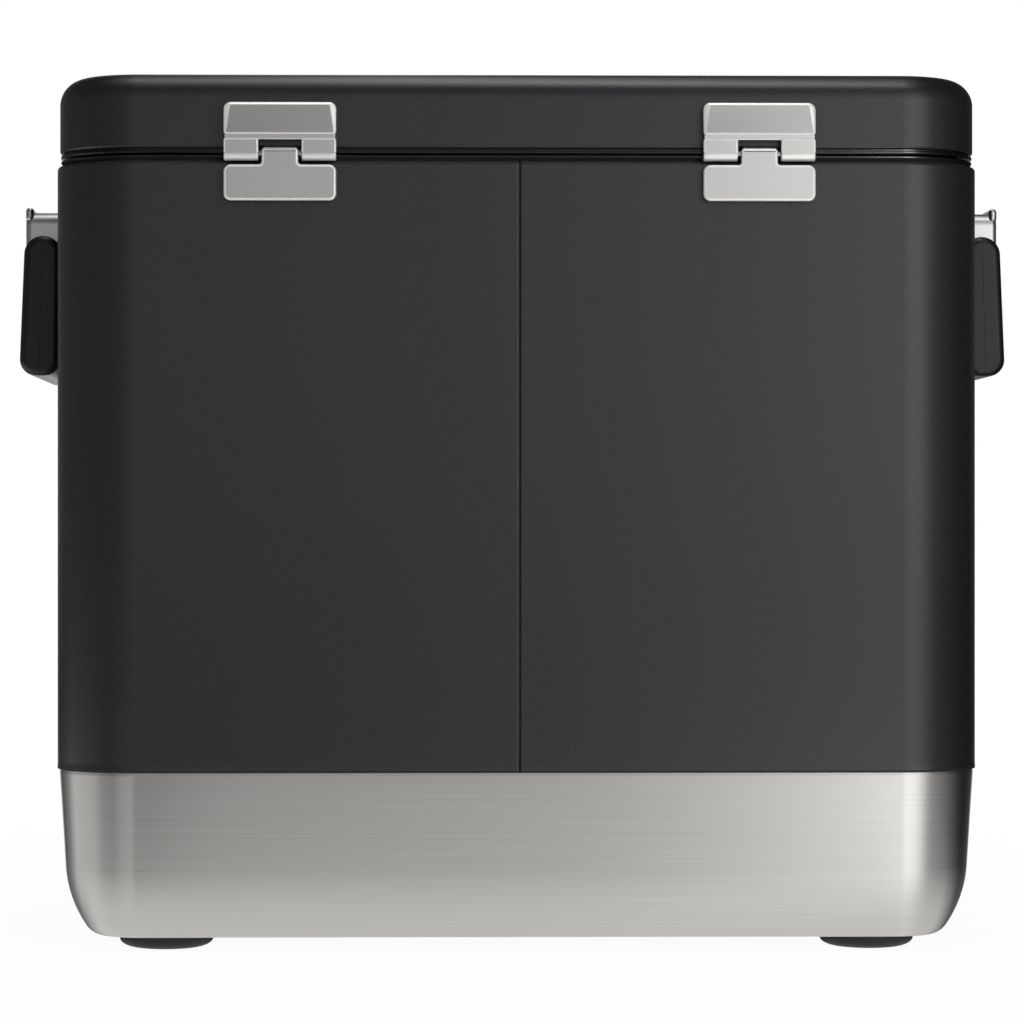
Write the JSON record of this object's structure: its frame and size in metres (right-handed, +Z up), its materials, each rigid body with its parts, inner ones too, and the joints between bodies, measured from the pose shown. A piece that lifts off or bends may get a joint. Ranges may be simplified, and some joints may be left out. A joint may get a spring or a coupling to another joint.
{
  "type": "hard cooler",
  "caption": "Insulated steel hard cooler: hinged lid, stainless base pan, swing handles with moulded grips, front latch, drain with a flip cap, rubber feet.",
  "frame": {"origin": "on the floor, under the middle of the box that holds the whole closed cooler", "axes": "+X along the width towards the right handle, +Y towards the hinged back, +Z up"},
  "size_m": [0.5664, 0.394, 0.4815],
  "materials": {
    "black_steel": "black powder coat, low sheen",
    "steel": "brushed stainless, satin",
    "gloss_black": "polished moulded black",
    "black_plastic": "matt moulded black",
    "grey_plastic": "pale grey, fine satin",
    "rubber": "matt black rubber",
    "grip_rubber": "soft matt black moulding",
    "foam": "straw-coloured foam, unpainted"
  },
  "bodies": {
    "body": {"base_pan": "steel", "body_foam": "foam", "body_wrap": "black_steel", "bracket_rivet_left_1": "steel", "bracket_rivet_left_2": "steel", "bracket_rivet_left_3": "steel", "bracket_rivet_left_4": "steel", "bracket_rivet_right_1": "steel", "bracket_rivet_right_2": "steel", "bracket_rivet_right_3": "steel", "bracket_rivet_right_4": "steel", "collar": "gloss_black", "drain_cap_pin": "steel", "drain_nut": "black_plastic", "drain_spout": "black_plastic", "drain_washer": "rubber", "foot_back_left": "rubber", "foot_back_left_screw": "steel", "foot_back_right": "rubber", "foot_back_right_screw": "steel", "foot_front_left": "rubber", "foot_front_left_screw": "steel", "foot_front_right": "rubber", "foot_front_right_screw": "steel", "handle_bracket_left": "steel", "handle_bracket_right": "steel", "handle_rod_left": "steel", "handle_rod_right": "steel", "hinge_backing_body_left": "steel", "hinge_backing_body_right": "steel", "hinge_lower_leaf_left": "steel", "hinge_lower_leaf_right": "steel", "hinge_pin_left": "steel", "hinge_pin_right": "steel", "keeper_rivet_1": "steel", "keeper_rivet_2": "steel", "latch_keeper": "steel", "liner_tub": "grey_plastic", "seam_strip": "steel"},
    "lid": {"lid_shell": "black_steel", "lid_liner": "gloss_black", "lid_foam": "foam", "lid_gasket": "rubber", "hinge_upper_leaf_left": "steel", "hinge_upper_leaf_right": "steel", "hinge_backing_lid_left": "steel", "hinge_backing_lid_right": "steel", "latch_backing": "steel", "latch_plate": "steel", "latch_pin": "steel"},
    "latch": {"latch_lever": "steel"},
    "handle_left": {"grip_outer_left": "grip_rubber", "grip_inner_left": "grip_rubber", "handle_core_left": "steel"},
    "handle_right": {"grip_outer_right": "grip_rubber", "grip_inner_right": "grip_rubber", "handle_core_right": "steel"},
    "drain_cap": {"drain_cap": "black_plastic"}
  },
  "joints": [
    {"name": "lid_hinge", "type": "hinge", "parent": "body", "child": "lid", "pos_m": [0, 0.1918, 0.4365], "axis": [-1, 0, 0], "range_deg": [0, 110]},
    {"name": "handle_left_swing", "type": "hinge", "parent": "body", "child": "handle_left", "pos_m": [-0.27, 0.0065, 0.3898], "axis": [0, 1, 0], "range_deg": [0, 95]},
    {"name": "handle_right_swing", "type": "hinge", "parent": "body", "child": "handle_right", "pos_m": [0.27, 0.0065, 0.3898], "axis": [0, -1, 0], "range_deg": [0, 95]},
    {"name": "latch_swing", "type": "hinge", "parent": "lid", "child": "latch", "pos_m": [0, -0.1838, 0.448], "axis": [-1, 0, 0], "range_deg": [-5.5, 85]},
    {"name": "drain_cap_flip", "type": "hinge", "parent": "body", "child": "drain_cap", "pos_m": [-0.1555, -0.19278, 0.08372], "axis": [-1, 0, 0], "range_deg": [0, 110]}
  ]
}
